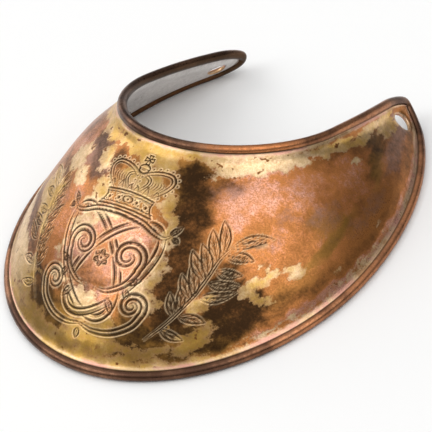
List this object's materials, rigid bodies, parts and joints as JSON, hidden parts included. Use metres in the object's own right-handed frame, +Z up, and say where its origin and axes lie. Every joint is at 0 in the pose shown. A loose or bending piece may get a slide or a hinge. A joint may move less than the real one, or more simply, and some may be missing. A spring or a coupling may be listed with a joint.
{
  "type": "officer gorget",
  "caption": "Crescent-shaped metal throat plate with a rolled bead edge, an open neck and a lacing hole in each horn, lying face up on its rim.",
  "frame": {"origin": "on the surface the gorget lies on, under the middle of its outline box", "axes": "+Z up, -Y towards the front of the plate, +Y towards the horn tips, X across from horn to horn"},
  "size_m": [0.1098, 0.1202, 0.0365],
  "materials": {
    "gilt_copper": "worn gilding over copper, polished and tarnished in patches"
  },
  "bodies": {
    "root": {"gorget_plate": "gilt_copper"}
  },
  "joints": []
}
